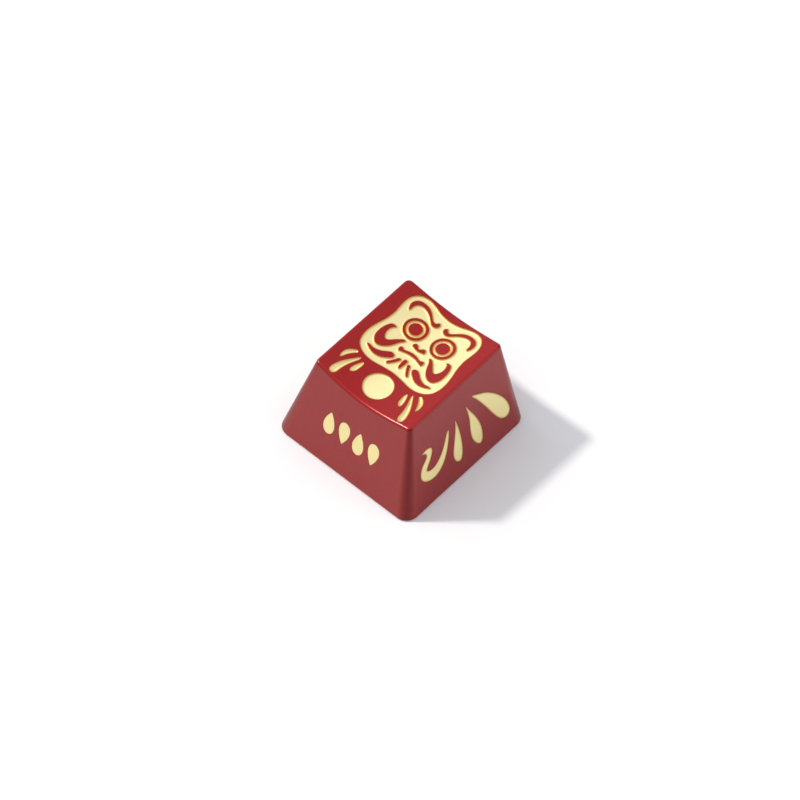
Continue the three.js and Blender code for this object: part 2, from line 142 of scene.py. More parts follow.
# Stem insert
GUSSET_ROOT = 0.8  # where a gusset starts, as a share of the boss's radius
GUSSET_TIP_HEIGHT = 0.5  # the foot of a gusset narrows over this height
GUSSET_TIP_DRAFT = 0.25
GUSSET_SIDE_DRAFT = 0.1
SOCKET_LEAD = 0.15  # height of the socket's lead-in on both sides of the boss's face
SOCKET_LEAD_FLARE = 0.6
EJECTOR_MARK_RADIUS = 0.8
EJECTOR_MARK_DEPTH = 0.06
EJECTOR_MARK_PLACE = 0.72  # along X and Y, as a share of the gussets' reach
CUTTER_LENGTH = 0.5  # how far a cutter stands out of the face that it sinks into
MOULDED_EDGE = 0.07
MOULDED_EDGE_ANGLE = math.radians(35)

# Patterns in the finishes, by the width of what repeats
FILM_CLOUD = 2.5
FLAKE = 0.11
ORANGE_PEEL = 0.5
CASTING_GRAIN = 0.09
COAT_RELIEF = 0.005
GOLD_CLOUD = 1.2
GOLD_RELIEF = 0.004
MELT_FLOW = 3.0
SPARK_PIT = 0.12
PIT_DEPTH = 0.004
BOARD_FIBRE = 0.4
FIBRE_RELIEF = 0.002

# ---------------------------------------------------------------- fineness of the meshes

MERGE_DISTANCE = 2e-7  # in metres
CREASE = math.radians(32)  # an edge that turns by more than this stays sharp
CORNER_STEPS = 20
EDGE_STEPS = 8
WALL_LEVELS = 12
FRONT_STEPS = 40
SIDE_STEPS = 12
DAB_STEPS = 5
DISC_POINTS = 64
MARK_POINTS = 40
LEAST_RADIUS = 0.05  # a corner's round is never drawn smaller
SETTLING_ROUNDS = 8  # for a ring that follows the dish
LOOP_GRAIN = 0.06  # spacing of points along a drawn loop
GOLD_GRAIN = 0.09  # spacing of points on a recessed floor
COAT_GRAIN = 0.35
POCKET_GRAIN = 0.5  # spacing of points on the hidden floor of a pocket
DISTANCE_GRAIN = 0.015  # spacing of the samples that distances from a loop are taken to
BOUNDARY_ROWS = (0.05, 0.15)  # how far in rows of points follow a sheet's boundary
LOOP_ROWS = (0.02, 0.04, 0.09)  # how far off rows of points follow a drawn loop
ROW_GAP = 0.017  # least gap between a row's point and any loop
GRID_GAP = 0.12
POCKET_GAP = 0.15
ON_LOOP = 0.012  # a point nearer than this lies on the loop

# ---------------------------------------------------------------- view

CAP_MIDDLE = (0, 0, 4.5)  # what the camera and the lights face
VIEW_AZIMUTH = 42.3688
LIGHT_DISTANCE = 0.6  # in metres
FLOOR_HALF = 3.0  # in metres


# ---------------------------------------------------------------- mesh helpers

def new_object(name, vertices, faces, painted_light_shares):
    """An object from points in millimetres, with doubles merged and hard edges kept.

    The painted light shares, one for each point, become the mesh's "edge" attribute, which the
    finishes read to paint shade and reflection.
    """
    mesh = bpy.data.meshes.new(name)
    mesh.from_pydata((np.asarray(vertices) * MM).tolist(), [], [list(map(int, f)) for f in faces])
    mesh.attributes.new("edge", "FLOAT", "POINT").data.foreach_set("value", painted_light_shares)
    obj = bpy.data.objects.new(name, mesh)
    bpy.context.scene.collection.objects.link(obj)
    finish_mesh(mesh)
    return obj


def finish_mesh(mesh):
    """Merges doubles, drops loose points, shades smooth, and keeps the sharp edges sharp."""
    work = bmesh.new()
    work.from_mesh(mesh)
    bmesh.ops.remove_doubles(work, verts=work.verts, dist=MERGE_DISTANCE)
    bmesh.ops.dissolve_degenerate(work, edges=work.edges, dist=MERGE_DISTANCE)
    loose = [vertex for vertex in work.verts if not vertex.link_faces]
    bmesh.ops.delete(work, geom=loose, context="VERTS")
    for face in work.faces:
        face.smooth = True
    for edge in work.edges:
        edge.smooth = len(edge.link_faces) == 2 and edge.calc_face_angle(0) < CREASE
    work.to_mesh(mesh)
    work.free()


class Skin:
    """Points and faces that are gathered patch by patch into one mesh."""

    def __init__(self):
        self.points = []
        self.faces = []
        self.painted_light_shares = []

    def add(self, points, faces, painted_light_shares=0.0):
        """Adds points and faces. The painted light share, 1 at an edge and 0 away from it, sets
        where the finishes paint shade and reflection.
        """
        start = len(self.points)
        self.points.extend(np.asarray(points, float).tolist())
        self.faces.extend([start + i for i in face] for face in faces)
        self.painted_light_shares.extend(np.broadcast_to(painted_light_shares, len(points)).tolist())

    def strip(self, lower, upper, closed=True, edge_share=0.0):
        """Quads between two rows of points; seen from outside, the rows run to the right."""
        count = len(lower)
        last = count if closed else count - 1
        quads = [(i, (i + 1) % count, count + (i + 1) % count, count + i) for i in range(last)]
        self.add(np.concatenate([lower, upper]), quads, edge_share)

    def build(self, name):
        return new_object(name, self.points, self.faces, self.painted_light_shares)


# ---------------------------------------------------------------- form of the cap

def dish_drop(x):
    """How far the dish lies below the top's straight line from side to side."""
    share = (x / TOP_HALF_WIDTH) ** 2
    return DISH_DEPTH * (1 - DISH_FULLNESS * share + (DISH_FULLNESS - 1) * share ** 2)


def top_height(x, y):
    return FRONT_HEIGHT + TOP_SLOPE * (y - TOP_FRONT) - dish_drop(x)


def places():
    """Places round a section, counter-clockwise from the front left corner.

    Each row holds where the centre of its round lies across the section, from -1 to 1,
    and along it, from 0 to 1, and the angle at which its round is left.
    """
    rows = []
    quarter = math.pi / 2
    corners = [(-1, 0), (1, 0), (1, 1), (-1, 1)]
    for number, (across, along) in enumerate(corners):
        start = math.pi + number * quarter
        for i in range(CORNER_STEPS + 1):
            rows.append((across, along, start + quarter * i / CORNER_STEPS))
        next_across, next_along = corners[(number + 1) % 4]
        steps = FRONT_STEPS if number % 2 == 0 else SIDE_STEPS
        for i in range(1, steps):
            share = i / steps
            middle = (across + (next_across - across) * share, along + (next_along - along) * share)
            rows.append((*middle, start + quarter))
    return np.array(rows)


PLACES = places()
STRAIGHTS = [FRONT_STEPS, SIDE_STEPS, FRONT_STEPS, SIDE_STEPS]


def wall_places(number):
    """Indices of the places of a wall, ends included: 0 front, 1 right, 2 back, 3 left."""
    start = sum(CORNER_STEPS + STRAIGHTS[i] for i in range(number)) + CORNER_STEPS
    return [(start + i) % len(PLACES) for i in range(STRAIGHTS[number] + 1)]


def corner_places(number):
    """Indices of the places of a corner: 0 front left, 1 front right, 2 back right, 3 back left."""
    start = sum(CORNER_STEPS + STRAIGHTS[i] for i in range(number))
    return [start + i for i in range(CORNER_STEPS + 1)]


def ring(z, inset=0.0, least_radius=LEAST_RADIUS):
    """The section at a height, or at one height for each place, moved in by the inset."""
    z = np.broadcast_to(z, len(PLACES)).astype(float)
    across, along, angle = PLACES.T
    wider = TOP_BACK_CORNER_RADIUS - TOP_FRONT_CORNER_RADIUS
    top_radius = TOP_FRONT_CORNER_RADIUS + wider * along
    radius = RIM_CORNER_RADIUS + (top_radius - RIM_CORNER_RADIUS) * z / HEIGHT
    radius = np.maximum(radius - inset, least_radius)
    half = HALF_BASE - SIDE_LEAN * z - inset
    front = -HALF_BASE + FRONT_LEAN * z + inset
    back = HALF_BASE - BACK_LEAN * z - inset
    x = across * (half - radius) + radius * np.cos(angle)
    y = front + radius + along * (back - front - 2 * radius) + radius * np.sin(angle)
    return np.stack([x, y, z], axis=1)


def edge_ring(depth, inset):
    """A ring that keeps a set depth below the dished top."""
    z = np.full(len(PLACES), HEIGHT)
    for _ in range(SETTLING_ROUNDS):
        points = ring(z, inset)
        z = top_height(points[:, 0], points[:, 1]) - depth
    return ring(z, inset)


def corner_shares(points):
    """How near each point is to the middle of an upright corner's round, from 0 to 1."""
    x, y, z = np.asarray(points).T
    half = HALF_BASE - SIDE_LEAN * z
    ends = [
        (-HALF_BASE + FRONT_LEAN * z, -1, TOP_FRONT_CORNER_RADIUS),
        (HALF_BASE - BACK_LEAN * z, 1, TOP_BACK_CORNER_RADIUS),
    ]
    shares = np.zeros(len(x))
    for edge, outwards, top_radius in ends:
        radius = RIM_CORNER_RADIUS + (top_radius - RIM_CORNER_RADIUS) * z / HEIGHT
        across = np.maximum(np.abs(x) - (half - radius), 0)
        along = np.maximum(radius - (edge - y) * outwards, 0)
        reach = np.hypot(across, along)
        turned = (2 * across * along / np.maximum(reach, 1e-6) ** 2) ** CORNER_SHADE_FALL
        outermost = np.clip((reach / radius - CORNER_SHADE_START) / (CORNER_SHADE_FULL - CORNER_SHADE_START), 0, 1)
        shares = np.maximum(shares, turned * outermost)
    return shares


def quarter_round(radius, steps):
    """Depth and inset of a round edge, from the wall to the face that it runs into."""
    for i in range(steps + 1):
        angle = i / steps * math.pi / 2
        yield radius * (1 - math.sin(angle)), radius * (1 - math.cos(angle))


# ---------------------------------------------------------------- drawn loops

def mirrored(points):
    return [(-x, y) for x, y in reversed(points)]


def both_halves(half):
    """A symmetric loop from its right half, which runs from the middle line back to it."""
    return half + mirrored(half[1:-1])


def counter_clockwise(loop):
    x, y = loop[:, 0], loop[:, 1]
    area = np.sum(x * np.roll(y, -1) - np.roll(x, -1) * y) / 2
    return loop if area > 0 else loop[::-1]


def smooth(points):
    """A centripetal Catmull-Rom loop through the points, at an even spacing."""
    knots = np.array(points, float)
    count = len(knots)
    drawn = []
    for i in range(count):
        p = knots[[(i - 1) % count, i, (i + 1) % count, (i + 2) % count]]
        t = np.concatenate([[0], np.cumsum(np.linalg.norm(np.diff(p, axis=0), axis=1) ** 0.5)])
        steps = max(2, round(np.linalg.norm(p[2] - p[1]) / LOOP_GRAIN))
        s = (t[1] + (t[2] - t[1]) * np.arange(steps) / steps)[:, None]
        a = [p[k] + (p[k + 1] - p[k]) * (s - t[k]) / (t[k + 1] - t[k]) for k in range(3)]
        b = [a[k] + (a[k + 1] - a[k]) * (s - t[k]) / (t[k + 2] - t[k]) for k in range(2)]
        drawn.append(b[0] + (b[1] - b[0]) * (s - t[1]) / (t[2] - t[1]))
    return counter_clockwise(np.concatenate(drawn))


def circle(x, y, radius, count=None):
    """A circle of so many points, or of as many as a drawn loop would have."""
    count = count or round(2 * math.pi * radius / LOOP_GRAIN)
    angle = np.arange(count) / count * 2 * math.pi
    return np.stack([x + radius * np.cos(angle), y + radius * np.sin(angle)], axis=1)


def outward(loop):
    """Unit normals of a counter-clockwise loop, pointing away from its inside."""
    along = np.roll(loop, -1, axis=0) - np.roll(loop, 1, axis=0)
    along /= np.linalg.norm(along, axis=1)[:, None]
    return np.stack([along[:, 1], -along[:, 0]], axis=1)


FACE_OUTLINE = both_halves([
    (0, 7.21), (1.2, 7.35), (2.2, 7.63), (3.1, 7.76), (4.0, 7.5), (4.58, 6.83), (4.77, 5.95),
    (4.71, 5.05), (4.63, 4.2), (4.75, 3.0), (5.0, 2.0), (5.17, 0.8), (5.1, -0.1), (4.8, -0.83),
    (4.2, -1.3), (3.4, -1.54), (2.4, -1.54), (1.2, -1.32), (0, -1.2),
])

RIGHT_BROW = [
    (0.3, 6.12), (0.52, 6.36), (0.7, 6.2), (0.85, 6.06), (1.15, 6.1), (1.5, 6.36), (1.95, 6.74),
    (2.5, 7.02), (3.1, 7.09), (3.65, 6.97), (4.02, 6.63), (4.15, 6.15), (4.07, 5.8), (3.86, 5.47),
    (3.76, 5.62), (3.74, 6.05), (3.5, 6.5), (3.0, 6.69), (2.45, 6.6), (1.9, 6.34), (1.4, 5.94),
    (1.0, 5.67), (0.6, 5.68), (0.37, 5.87),
]

RIGHT_CHEEK = [
    (3.38, 3.03), (3.6, 3.11), (3.93, 3.0), (4.18, 2.6), (4.33, 2.05), (4.37, 1.5), (4.31, 0.95),
    (4.08, 0.5), (3.72, 0.25), (3.35, 0.26), (2.9, 0.5), (2.5, 0.9), (2.2, 1.4), (1.95, 1.95),
    (1.63, 2.45), (1.82, 2.5), (2.15, 2.25), (2.5, 1.9), (2.85, 1.5), (3.1, 1.3), (3.35, 1.3),
    (3.6, 1.6), (3.74, 2.1), (3.68, 2.6), (3.5, 2.93),
]

RIGHT_BEARD = [
    (1.26, 0.33), (1.45, 0.53), (1.75, 0.56), (2.1, 0.34), (2.55, 0.0), (3.0, -0.23), (3.45, -0.34),
    (3.95, -0.3), (4.19, -0.38), (3.95, -0.53), (3.45, -0.72), (2.9, -0.77), (2.3, -0.62),
    (1.8, -0.3), (1.4, 0.05),
]

RIGHT_WHISKER = [
    (0.48, 0.48), (0.6, 0.57), (0.77, 0.5), (0.95, 0.15), (1.17, -0.22), (1.4, -0.58),
    (1.33, -0.71), (1.17, -0.62), (0.9, -0.3), (0.65, 0.08),
]

CHIN_STROKE = both_halves([
    (0, 0.84), (0.17, 0.78), (0.22, 0.5), (0.18, 0.1), (0.12, -0.28), (0, -0.39),
])

NOSE = both_halves([
    (0, 2.63), (0.17, 2.7), (0.35, 2.9), (0.56, 2.96), (0.76, 2.8), (0.76, 2.57), (0.45, 2.46),
    (0, 2.38),
])

MOUTH = both_halves([
    (0, 1.85), (0.45, 1.8), (0.85, 1.67), (1.12, 1.62), (1.35, 1.75), (1.53, 1.68), (1.58, 1.45),
    (1.48, 1.23), (1.25, 1.28), (0.85, 1.41), (0.4, 1.51), (0, 1.52),
])

# Sleeve folds beside the belly, named from the middle outwards
RIGHT_SLEEVE = {
    "inner": [
        (2.9, -2.3), (2.77, -2.55), (2.78, -3.1), (2.87, -3.6), (3.08, -3.86), (3.3, -3.94),
        (3.43, -3.7), (3.38, -3.2), (3.2, -2.7), (3.03, -2.37),
    ],
    "long": [
        (3.45, -2.08), (3.62, -2.18), (3.92, -2.6), (4.25, -3.1), (4.58, -3.7), (4.82, -4.35),
        (4.92, -4.9), (4.84, -5.27), (4.6, -5.41), (4.35, -5.37), (4.15, -5.08), (4.06, -4.4),
        (3.92, -3.7), (3.68, -3.0), (3.45, -2.4),
    ],
    "outer": [
        (4.2, -1.72), (4.08, -1.88), (4.3, -2.17), (4.57, -2.57), (4.78, -3.0), (4.92, -3.35),
        (5.04, -3.5), (5.15, -3.3), (5.2, -2.95), (5.13, -2.5), (4.9, -2.13), (4.6, -1.87),
        (4.37, -1.73),
    ],
}

# Robe folds on the right wall, from the front of the cap to its back
ROBE_FOLDS = {
    "hook": [
        (-5.05, 6.6), (-4.6, 6.72), (-4.1, 6.72), (-3.72, 6.53), (-3.6, 6.2), (-3.78, 5.72),
        (-4.2, 5.15), (-4.65, 4.68), (-4.86, 4.32), (-4.65, 4.1), (-4.2, 4.0), (-3.6, 4.12),
        (-2.95, 4.5), (-2.35, 5.08), (-1.8, 5.85), (-1.25, 6.62), (-1.02, 6.72), (-1.08, 6.3),
        (-1.5, 5.2), (-2.05, 4.2), (-2.75, 3.4), (-3.5, 2.95), (-4.25, 2.8), (-5.0, 2.98),
        (-5.6, 3.42), (-5.83, 3.98), (-5.72, 4.6), (-5.35, 5.15), (-4.8, 5.6), (-4.48, 5.95),
        (-4.5, 6.25), (-4.72, 6.45),
    ],
    "small_drop": [
        (0.06, 7.1), (0.2, 6.3), (0.28, 5.3), (0.26, 4.4), (0.15, 3.4), (-0.08, 2.55),
        (-0.38, 2.08), (-0.75, 2.1), (-1.1, 2.48), (-1.22, 3.05), (-1.1, 3.75), (-0.7, 4.75),
        (-0.3, 5.75), (-0.05, 6.6),
    ],
    "drop": [
        (1.8, 7.5), (2.15, 6.7), (2.6, 5.7), (2.92, 4.7), (3.08, 3.7), (3.02, 2.8), (2.78, 2.12),
        (2.48, 1.94), (2.1, 2.22), (1.72, 2.9), (1.58, 3.7), (1.64, 4.6), (1.8, 5.6), (1.84, 6.6),
    ],
    "wide_drop": [
        (2.85, 8.1), (3.7, 7.68), (4.6, 7.15), (5.45, 6.4), (6.2, 5.5), (6.8, 4.5), (7.13, 3.5),
        (7.12, 2.75), (6.85, 2.38), (6.4, 2.28), (5.9, 2.5), (5.4, 3.1), (4.95, 3.95),
        (4.45, 5.05), (3.95, 6.1), (3.4, 7.15),
    ],
}


def dab_points():
    """A drop round its own middle, with its point up."""
    half = []
    for i in range(DAB_STEPS + 1):
        angle = i / DAB_STEPS * math.pi
        taper = math.sin(angle / 2) ** DAB_TAPER * DAB_FULLNESS
        width = DAB_WIDTH / 2 * math.sin(angle) * taper
        half.append((width, DAB_HEIGHT / 2 * math.cos(angle)))
    return both_halves(half)


# ---------------------------------------------------------------- inlaid sheets

class Inlay:
    """One piece of gold: its outline, the islands of coat inside it, and its hollow."""

    def __init__(self, name, outline, islands=(), cove=COVE, depth=TOP_RECESS,
                 foot=TOP_RECESS + INLAY_THICKNESS, bow=2.0):
        self.name = name
        self.loops = [outline, *islands]
        self.cove = cove  # width of the hollow slope along its edges
        self.bow = bow  # 1 makes the slope straight, more makes it hollow
        self.depth = depth
        self.foot = foot
        self.skin = Skin()

    def depth_at(self, distance):
        """Depth of the gold's face below the sheet, at a distance from the gold's edge."""
        share = np.clip(distance / self.cove, 0, 1)
        return LIP + (self.depth - LIP) * (1 - (1 - share) ** self.bow)


def scatter(loops, grain):
    """A grid of points over the box of the loops, every other row shifted by half a step."""
    low = np.min([loop.min(axis=0) for loop in loops], axis=0)
    high = np.max([loop.max(axis=0) for loop in loops], axis=0)
    points = []
    for i, y in enumerate(np.arange(low[1], high[1], grain * math.sqrt(3) / 2)):
        row = np.arange(low[0] + (i % 2) * grain / 2, high[0], grain)
        points.append(np.stack([row, np.full(len(row), y)], axis=1))
    return np.concatenate(points)


def nearest_distances(points, loops):
    """How far each point is from the nearest loop."""
    samples = []
    for loop in loops:
        step = np.roll(loop, -1, axis=0) - loop
        pieces = np.ceil(np.linalg.norm(step, axis=1) / DISTANCE_GRAIN).astype(int)
        for start, run, count in zip(loop, step, pieces):
            samples.append(start + run * np.arange(count)[:, None] / count)
    samples = np.concatenate(samples)
    tree = KDTree(len(samples))
    for i, (x, y) in enumerate(samples):
        tree.insert((x, y, 0), i)
    tree.balance()
    return np.array([tree.find((x, y, 0))[2] for x, y in points])


def inside(points, loop):
    """Which of the points a loop surrounds."""
    result = np.zeros(len(points), bool)
    x, y = points[:, 0], points[:, 1]
    for (x1, y1), (x2, y2) in zip(loop, np.roll(loop, -1, axis=0)):
        crosses = (y1 > y) != (y2 > y)
        if y1 != y2:
            result ^= crosses & (x < (x2 - x1) * (y - y1) / (y2 - y1) + x1)
    return result


def triangulate(loops, points):
    """Triangles that keep to the loops, and for each triangle the loops that it lies in."""
    faces = []
    start = 0
    for loop in loops:
        faces.append(list(range(start, start + len(loop))))
        start += len(loop)
    vectors = [Vector(p) for p in np.concatenate([*loops, points]).tolist()]
    corners, _, triangles, _, _, owners = delaunay_2d_cdt(vectors, [], faces, 0, 1e-7, True)
    return np.array([c[:] for c in corners]), triangles, [frozenset(o) for o in owners]


def sheet_points(boundary, inlays, loops):
    """Points of a sheet between its loops: rows that follow the loops, and grids."""
    rows = [boundary - outward(boundary) * reach for reach in BOUNDARY_ROWS]
    for loop in loops[1:]:
        for reach in LOOP_ROWS:
            rows += [loop + outward(loop) * reach, loop - outward(loop) * reach]
    rows = np.concatenate(rows)
    grids = [scatter([boundary], COAT_GRAIN)]
    for inlay in inlays:
        grid = scatter([inlay.loops[0]], GOLD_GRAIN)
        grids.append(grid[inside(grid, inlay.loops[0])])
    grids = np.concatenate(grids)
    gap = nearest_distances(grids, loops)
    grids = grids[(gap > GRID_GAP) & inside(grids, boundary)]
    gap = nearest_distances(rows, loops)
    rows = rows[(gap > ROW_GAP) & inside(rows, boundary)]
    return np.concatenate([rows, grids])


def shared_out(triangles, owners, inlays):
    """The triangles of the coat, and a list of them for each inlay."""
    groups = []
    start = 1
    for inlay in inlays:
        end = start + len(inlay.loops)
        groups.append((start, set(range(start + 1, end))))
        start = end
    gold = [[] for _ in inlays]
    coat = []
    for triangle, owner in zip(triangles, owners):
        if 0 not in owner:
            continue
        home = coat
        for number, (outer, islands) in enumerate(groups):
            if outer in owner and not islands & owner:
                home = gold[number]
        home.append(triangle)
    return coat, gold


def close_pocket(skin, inlay, place):
    """Adds the floor and the sides between an inlay and its pocket, to both of their skins."""
    points = scatter(inlay.loops[:1], POCKET_GRAIN)
    points = points[nearest_distances(points, inlay.loops) > POCKET_GAP]
    floor, triangles, owners = triangulate(inlay.loops, points)
    kept = [triangle for triangle, owner in zip(triangles, owners) if owner == {0}]
    deep = place(floor, np.full(len(floor), inlay.foot))
    skin.add(deep, kept)
    inlay.skin.add(deep, [triangle[::-1] for triangle in kept])
    for number, loop in enumerate(inlay.loops):
        run = counter_clockwise(loop)
        if number > 0:
            run = run[::-1]
        high = place(run, np.full(len(run), LIP))
        low = place(run, np.full(len(run), inlay.foot))
        # The pocket's sides take the gold's full painted rim: painted reflection of the red coat
        # and painted shade
        inlay.skin.strip(low, high, edge_share=1.0)
        skin.strip(high, low)


def inlaid_sheet(skin, boundary, inlays, place):
    """Adds a sheet of coat to the skin, with a pocket for each inlay, and fills the inlays.

    The boundary is a loop in the sheet's own plane. place turns points of that plane, and how
    far they lie below the sheet, to points of the cap.
    """
    drawn = [loop for inlay in inlays for loop in inlay.loops]
    loops = [boundary, *drawn]
    corners, triangles, owners = triangulate(loops, sheet_points(boundary, inlays, loops))
    distance = nearest_distances(corners, drawn) if drawn else np.full(len(corners), np.inf)
    distance[distance < ON_LOOP] = 0
    rounded = LIP - np.sqrt(np.maximum(LIP ** 2 - (LIP - distance) ** 2, 0))
    coat, gold = shared_out(triangles, owners, inlays)
    skin.add(place(corners, np.where(distance < LIP, rounded, 0)), coat)
    for inlay, own in zip(inlays, gold):
        # The gold's painted rim, painted reflection of the red coat and painted shade, is full at
        # the edge and fades inwards
        near = np.clip(1 - distance / PAINTED_RIM_WIDTH, 0, 1)
        inlay.skin.add(place(corners, inlay.depth_at(distance)), own, near)
        close_pocket(skin, inlay, place)


# ---------------------------------------------------------------- top of the cap

def on_top(points):
    """From the top sheet to the cap's own x and y."""
    points = np.array(points, float)
    stretch = (TOP_BACK - TOP_FRONT) / (TOP_SHEET["back"] - TOP_SHEET["front"])
    x = points[:, 0] * 2 * TOP_HALF_WIDTH / TOP_SHEET["width"]
    y = TOP_FRONT + (points[:, 1] - TOP_SHEET["front"]) * stretch
    return np.stack([x, y], axis=1)


def sunk_below_top(points, depth):
    """From the cap's own x and y to points that lie so far below the dished top."""
    x, y = points[:, 0], points[:, 1]
    return np.stack([x, y, top_height(x, y) - depth], axis=1)


SIDES = {"right": list, "left": mirrored}  # how each side turns a loop drawn for the right


def eye_circle(side, radius):
    x = EYE_OFFSET if side == "right" else -EYE_OFFSET
    return on_top(circle(x, EYE_LINE, radius))


def top_inlays():
    features = [on_top(smooth(loop)) for loop in (CHIN_STROKE, NOSE, MOUTH)]
    for side, turned in SIDES.items():
        for loop in (RIGHT_BROW, RIGHT_CHEEK, RIGHT_BEARD, RIGHT_WHISKER):
            features.append(on_top(smooth(turned(loop))))
        features.append(eye_circle(side, EYE_RIM_RADIUS))
    inlays = [
        Inlay("face_inlay", on_top(smooth(FACE_OUTLINE)), features),
        Inlay("belly_inlay", on_top(circle(0, BELLY_LINE, BELLY_RADIUS))),
    ]
    for side, turned in SIDES.items():
        eye = eye_circle(side, EYE_INLAY_RADIUS)
        pupil = eye_circle(side, PUPIL_RADIUS)
        inlays.append(Inlay(f"{side}_eye_inlay", eye, [pupil], EYE_COVE, EYE_DEPTH, bow=1.0))
        for fold, loop in RIGHT_SLEEVE.items():
            outline = on_top(smooth(turned(loop)))
            name = f"{side}_sleeve_{fold}"
            inlays.append(Inlay(name, outline, (), SLEEVE_COVE, SLEEVE_DEPTH, bow=1.0))
    return inlays


# ---------------------------------------------------------------- walls of the cap

class WallPlane:
    """The plane of a wall: across runs to the right as seen from outside, up climbs the wall."""

    def __init__(self, across, lean):
        self.across = np.array(across, float)
        out = np.array([self.across[1], -self.across[0], 0])
        self.foot = out * HALF_BASE
        up = np.array([0, 0, 1]) - out * lean
        self.up = up / np.linalg.norm(up)
        self.normal = np.cross(self.across, self.up)
        self.climb = math.hypot(1, lean) * HEIGHT / WALL_SHEET["height"]

    def flat(self, points):
        """From points of the cap to the wall's own plane."""
        offset = points - self.foot
        return np.stack([offset @ self.across, offset @ self.up], axis=1)

    def place(self, points, depth):
        return (self.foot + points[:, :1] * self.across + points[:, 1:] * self.up
                - np.asarray(depth)[:, None] * self.normal)

    def drawn(self, points):
        """From the wall sheet to the wall's own plane."""
        stretch = BASE_WIDTH / WALL_SHEET["width"]
        return np.array(points, float) * [stretch, self.climb]

    def matrix(self):
        """The wall's frame, in metres."""
        rows = np.stack([self.across, self.up, self.normal, self.foot * MM], axis=1)
        return Matrix([*rows.tolist(), [0, 0, 0, 1]])


WALLS = {
    "front": WallPlane((1, 0, 0), FRONT_LEAN),
    "right": WallPlane((0, 1, 0), SIDE_LEAN),
    "back": WallPlane((-1, 0, 0), BACK_LEAN),
    "left": WallPlane((0, -1, 0), SIDE_LEAN),
}


def fill(name, loop):
    """An inlay of a wall, whose floor is flat."""
    return Inlay(name, loop, cove=LIP, depth=LIP, foot=SIDE_INLAY_THICKNESS)


def wall_inlays():
    fills = {wall: [] for wall in WALLS}
    for side, turned in SIDES.items():
        plane = WALLS[side]
        for fold, loop in ROBE_FOLDS.items():
            outline = counter_clockwise(plane.drawn(smooth(turned(loop))))
            fills[side].append(fill(f"{side}_robe_{fold}", outline))
    for i in range(DAB_COUNT):
        middle = [(i - (DAB_COUNT - 1) / 2) * DAB_PITCH, DAB_LINE]
        turn = 1 if i % 2 == 0 else -1
        outline = smooth(dab_points()) * turn + middle
        fills["front"].append(fill(f"front_dab_{i + 1}", WALLS["front"].drawn(outline)))
    return fills


# ---------------------------------------------------------------- cap

def rows_between(low, high, levels):
    return [low + (high - low) * i / levels for i in range(levels + 1)]


def cap_shell(on_the_top, in_the_walls):
    """The casting's skin: walls, edges and top, then the rim, the cavity and its ceiling."""
    skin = Skin()
    foot = ring(RIM_EDGE_RADIUS)
    brow = edge_ring(TOP_EDGE_RADIUS, 0)
    rows = rows_between(foot, brow, WALL_LEVELS)
    for number, (wall, plane) in enumerate(WALLS.items()):
        own = wall_places(number)
        up_the_end = [row[own[-1]] for row in rows[1:-1]]
        down_the_start = [row[own[0]] for row in rows[-2:0:-1]]
        edge = np.concatenate([foot[own], up_the_end, brow[own][::-1], down_the_start])
        inlaid_sheet(skin, plane.flat(edge), in_the_walls[wall], plane.place)
        corner = corner_places(number)
        for lower, upper in zip(rows, rows[1:]):
            skin.strip(lower[corner], upper[corner], closed=False)
    rounding = quarter_round(TOP_EDGE_RADIUS, EDGE_STEPS)
    edges = [edge_ring(depth, inset) for depth, inset in rounding]
    for lower, upper in zip(edges, edges[1:]):
        skin.strip(lower, upper)
    inlaid_sheet(skin, edges[-1][:, :2], on_the_top, sunk_below_top)

    rims = [ring(z, inset) for z, inset in quarter_round(RIM_EDGE_RADIUS, EDGE_STEPS)]
    mouth = [
        ring(0, WALL - MOUTH_CHAMFER, CAVITY_CORNER_RADIUS),
        ring(MOUTH_CHAMFER, WALL, CAVITY_CORNER_RADIUS),
        ring(CEILING, WALL, CAVITY_CORNER_RADIUS),
    ]
    inward = [*rims, *mouth]
    for upper, lower in zip(inward, inward[1:]):
        skin.strip(lower, upper)
    ceiling = mouth[-1]
    count = len(ceiling)
    skin.add(
        np.concatenate([ceiling, [ceiling.mean(axis=0)]]),
        [((i + 1) % count, i, count) for i in range(count)],
    )
    # The cap's shares put painted shade on its upright corners
    skin.painted_light_shares = corner_shares(skin.points)
    return skin


# ---------------------------------------------------------------- node trees

def linear(hex_colour):
    """An sRGB hex colour as the linear values that nodes take."""
    channels = [int(hex_colour[i:i + 2], 16) / 255 for i in (1, 3, 5)]
    return (*(c / 12.92 if c <= 0.04045 else ((c + 0.055) / 1.055) ** 2.4 for c in channels), 1.0)


def add_node(tree, kind, inputs=None, **settings):
    """Adds a node. An input takes a value or the socket that feeds it."""
    node = tree.nodes.new(kind)
    for name, value in settings.items():
        setattr(node, name, value)
    for name, value in (inputs or {}).items():
        if isinstance(value, bpy.types.NodeSocket):
            tree.links.new(value, node.inputs[name])
        else:
            node.inputs[name].default_value = value
    return node


